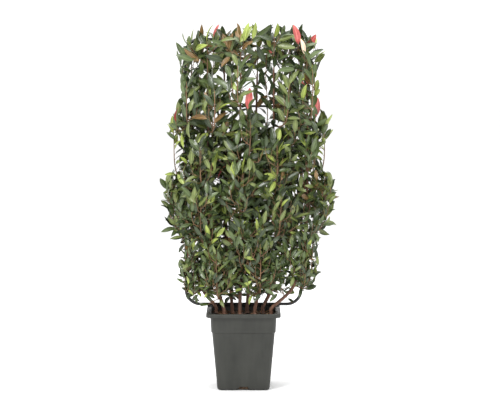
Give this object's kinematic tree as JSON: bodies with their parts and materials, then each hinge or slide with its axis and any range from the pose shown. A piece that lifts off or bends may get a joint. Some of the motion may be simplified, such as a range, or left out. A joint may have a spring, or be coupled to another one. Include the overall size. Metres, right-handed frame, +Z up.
{
  "type": "potted red tip photinia",
  "caption": "Evergreen shrub with red young leaves, trained flat on a black round-cornered tube frame in a square black nursery pot.",
  "frame": {"origin": "middle of the pot's flat underside", "axes": "+Z up along the plant's height, +X to the right along the frame's width, the frame stands behind the pot's middle, towards +Y"},
  "size_m": [0.6434, 0.3215, 1.2335],
  "materials": {
    "pot_plastic": "satin, dark grey",
    "potting_mix": "loose bark and peat",
    "frame_coating": "black coating",
    "stem_bark": "smooth reddish bark",
    "leaves_mature": "glossy dark green",
    "leaves_fresh": "glossy yellow green",
    "leaves_bronze": "glossy bronze and red"
  },
  "bodies": {
    "root": {"foliage_high_back_left": "leaves_mature", "foliage_high_back_right": "leaves_mature", "foliage_high_front_left": "leaves_mature", "foliage_high_front_middle": "leaves_mature", "foliage_high_front_right": "leaves_mature", "foliage_high_left": "leaves_mature", "foliage_high_right": "leaves_mature", "foliage_low_back_left": "leaves_mature", "foliage_low_back_right": "leaves_mature", "foliage_low_front_left": "leaves_mature", "foliage_low_front_middle": "leaves_mature", "foliage_low_front_right": "leaves_mature", "foliage_low_left": "leaves_mature", "foliage_low_right": "leaves_mature", "foliage_middle_back_left": "leaves_mature", "foliage_middle_back_right": "leaves_mature", "foliage_middle_front_left": "leaves_mature", "foliage_middle_front_middle": "leaves_mature", "foliage_middle_front_right": "leaves_mature", "foliage_middle_left": "leaves_mature", "foliage_middle_right": "leaves_mature", "foliage_top_left_1": "leaves_bronze", "foliage_top_left_2": "leaves_fresh", "foliage_top_left_3": "leaves_bronze", "foliage_top_left_4": "leaves_fresh", "foliage_top_right_1": "leaves_bronze", "foliage_top_right_2": "leaves_fresh", "foliage_top_right_3": "leaves_bronze", "foliage_top_right_4": "leaves_fresh", "foliage_upper_back_left": "leaves_mature", "foliage_upper_back_right": "leaves_mature", "foliage_upper_front_left": "leaves_mature", "foliage_upper_front_middle": "leaves_mature", "foliage_upper_front_right": "leaves_mature", "foliage_upper_left": "leaves_mature", "foliage_upper_right": "leaves_mature", "frame_bend_foot_left": "frame_coating", "frame_bend_foot_right": "frame_coating", "frame_bend_top_left": "frame_coating", "frame_bend_top_right": "frame_coating", "frame_foot_bar": "frame_coating", "frame_leg_left": "frame_coating", "frame_leg_right": "frame_coating", "frame_post_left": "frame_coating", "frame_post_right": "frame_coating", "frame_rung_1": "frame_coating", "frame_rung_2": "frame_coating", "frame_rung_3": "frame_coating", "frame_top_bar": "frame_coating", "pot": "pot_plastic", "potting_mix": "potting_mix", "stem_left_1": "stem_bark", "stem_left_2": "stem_bark", "stem_left_3": "stem_bark", "stem_left_4": "stem_bark", "stem_right_1": "stem_bark", "stem_right_2": "stem_bark", "stem_right_3": "stem_bark", "stem_right_4": "stem_bark"}
  },
  "joints": []
}
